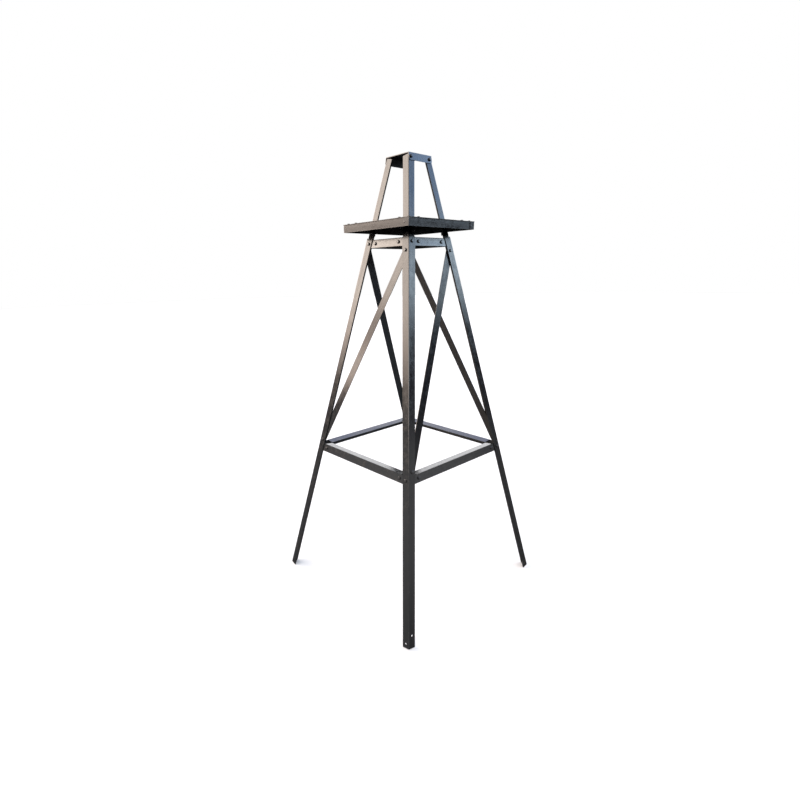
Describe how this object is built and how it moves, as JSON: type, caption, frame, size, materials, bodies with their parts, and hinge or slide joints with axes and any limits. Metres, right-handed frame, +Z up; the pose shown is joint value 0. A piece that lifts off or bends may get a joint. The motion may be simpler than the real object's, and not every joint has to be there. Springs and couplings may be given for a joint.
{
  "type": "tower stand",
  "caption": "Tall tapering tower stand of bolted angle steel legs, tied by rings of rails and diagonal flat braces, with a square tray near the top and a small channel cap.",
  "frame": {"origin": "on the ground, on the tower's vertical axis, midway between the four feet", "axes": "+Z up the tower; the front leg stands towards -Y, the right leg towards +X, the rear leg towards +Y and the left leg towards -X"},
  "size_m": [1.249, 1.249, 1.9],
  "materials": {
    "frame_coat": "semi-gloss dark bronze coat on rolled steel",
    "tray_coat": "semi-gloss dark bronze coat on bent sheet steel",
    "fastener": "blackened steel, satin"
  },
  "bodies": {
    "root": {"leg_front": "frame_coat", "leg_right": "frame_coat", "leg_rear": "frame_coat", "leg_left": "frame_coat", "top_leg_front": "frame_coat", "top_leg_right": "frame_coat", "top_leg_rear": "frame_coat", "top_leg_left": "frame_coat", "lower_rail_front_right": "frame_coat", "lower_rail_rear_right": "frame_coat", "lower_rail_rear_left": "frame_coat", "lower_rail_front_left": "frame_coat", "upper_rail_front_right": "frame_coat", "upper_rail_rear_right": "frame_coat", "upper_rail_rear_left": "frame_coat", "upper_rail_front_left": "frame_coat", "brace_front_right": "frame_coat", "brace_rear_right": "frame_coat", "brace_rear_left": "frame_coat", "brace_front_left": "frame_coat", "lower_bracket_front": "frame_coat", "lower_bracket_right": "frame_coat", "lower_bracket_rear": "frame_coat", "lower_bracket_left": "frame_coat", "upper_bracket_front": "frame_coat", "upper_bracket_right": "frame_coat", "upper_bracket_rear": "frame_coat", "upper_bracket_left": "frame_coat", "tray_deck": "tray_coat", "tray_edge_front_right": "tray_coat", "tray_edge_rear_right": "tray_coat", "tray_edge_rear_left": "tray_coat", "tray_edge_front_left": "tray_coat", "tray_clip_front": "tray_coat", "tray_clip_right": "tray_coat", "tray_clip_rear": "tray_coat", "tray_clip_left": "tray_coat", "top_cap": "tray_coat", "lower_rail_bolt_front_right": "fastener", "lower_rail_bolt_rear_right": "fastener", "lower_rail_bolt_rear_left": "fastener", "lower_rail_bolt_front_left": "fastener", "upper_rail_bolt_front_right": "fastener", "upper_rail_bolt_rear_right": "fastener", "upper_rail_bolt_rear_left": "fastener", "upper_rail_bolt_front_left": "fastener", "lower_brace_bolt_front_right": "fastener", "lower_brace_bolt_rear_right": "fastener", "lower_brace_bolt_rear_left": "fastener", "lower_brace_bolt_front_left": "fastener", "upper_brace_bolt_front_right": "fastener", "upper_brace_bolt_rear_right": "fastener", "upper_brace_bolt_rear_left": "fastener", "upper_brace_bolt_front_left": "fastener", "cap_bolt_front_right_left": "fastener", "cap_bolt_front_right_right": "fastener", "cap_bolt_rear_left_left": "fastener", "cap_bolt_rear_left_right": "fastener"}
  },
  "joints": []
}
